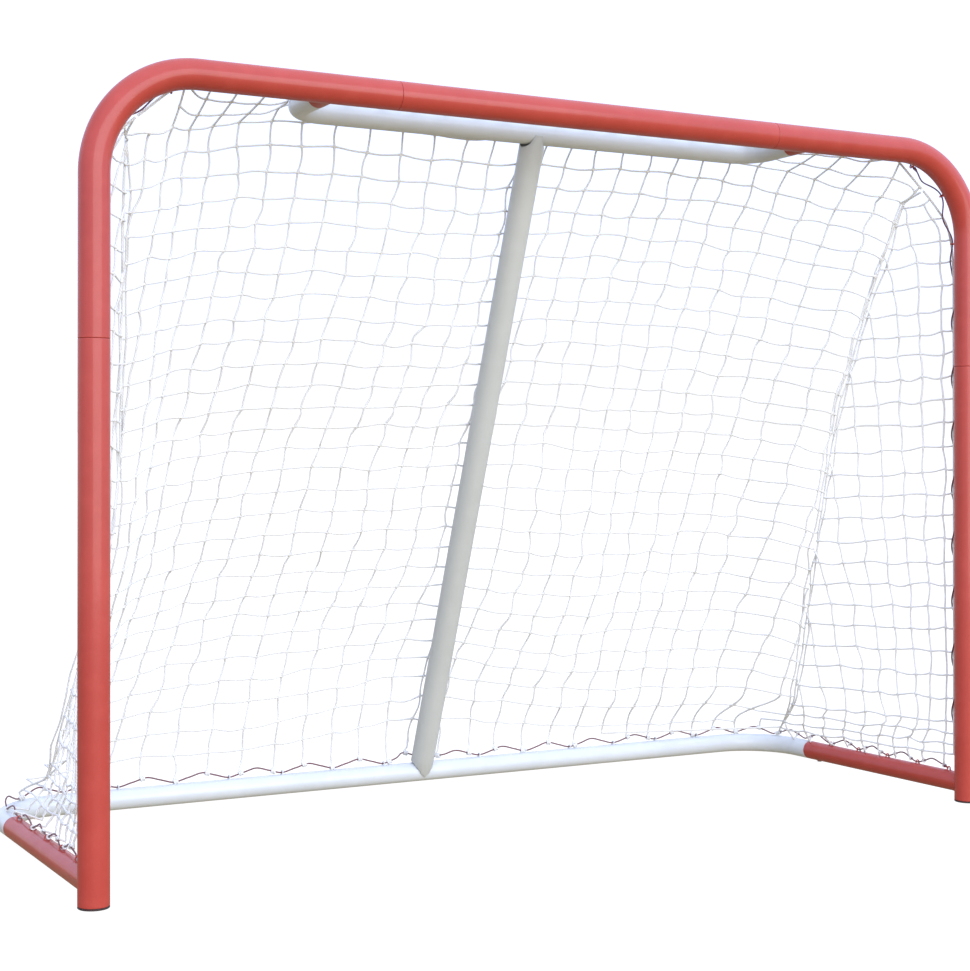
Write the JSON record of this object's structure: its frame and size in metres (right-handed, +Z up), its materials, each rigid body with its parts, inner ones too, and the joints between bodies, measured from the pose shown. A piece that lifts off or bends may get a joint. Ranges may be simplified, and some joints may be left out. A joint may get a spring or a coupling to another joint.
{
  "type": "hockey goal",
  "caption": "Free-standing tubular steel hockey goal with rounded top corners, a U-shaped base, a sloping centre post and a laced white net.",
  "frame": {"origin": "centre of the footprint at floor level: the bottom centre of the bounding box, midway between the two goal posts", "axes": "+X along the crossbar, from the left post to the right post as seen from in front of the mouth; +Y from the mouth towards the back of the net; +Z up"},
  "size_m": [1.6454, 0.638, 1.1802],
  "materials": {
    "red_paint": "satin",
    "white_paint": "satin",
    "grey_paint": "satin",
    "cap_rubber": "matte",
    "zinc": "satin",
    "lacing": "matte",
    "netting": "matte"
  },
  "bodies": {
    "root": {"left_lower_post": "red_paint", "right_lower_post": "red_paint", "left_corner_elbow": "red_paint", "right_corner_elbow": "red_paint", "crossbar_centre": "red_paint", "left_foot_cap": "cap_rubber", "right_foot_cap": "cap_rubber", "left_base_tube": "red_paint", "right_base_tube": "red_paint", "left_upper_stub": "red_paint", "right_upper_stub": "red_paint", "base_back_bar": "white_paint", "upper_back_bar": "white_paint", "centre_post": "grey_paint", "left_post_screw": "zinc", "right_post_screw": "zinc", "crossbar_left_screw": "zinc", "crossbar_right_screw": "zinc", "left_base_screw": "zinc", "right_base_screw": "zinc", "left_upper_screw": "zinc", "right_upper_screw": "zinc", "centre_post_top_screw": "zinc", "centre_post_foot_screw": "zinc", "left_post_lacing": "lacing", "right_post_lacing": "lacing", "crossbar_lacing": "lacing", "base_lacing": "lacing", "net_back": "netting", "net_left": "netting", "net_right": "netting", "net_roof": "netting"}
  },
  "joints": []
}
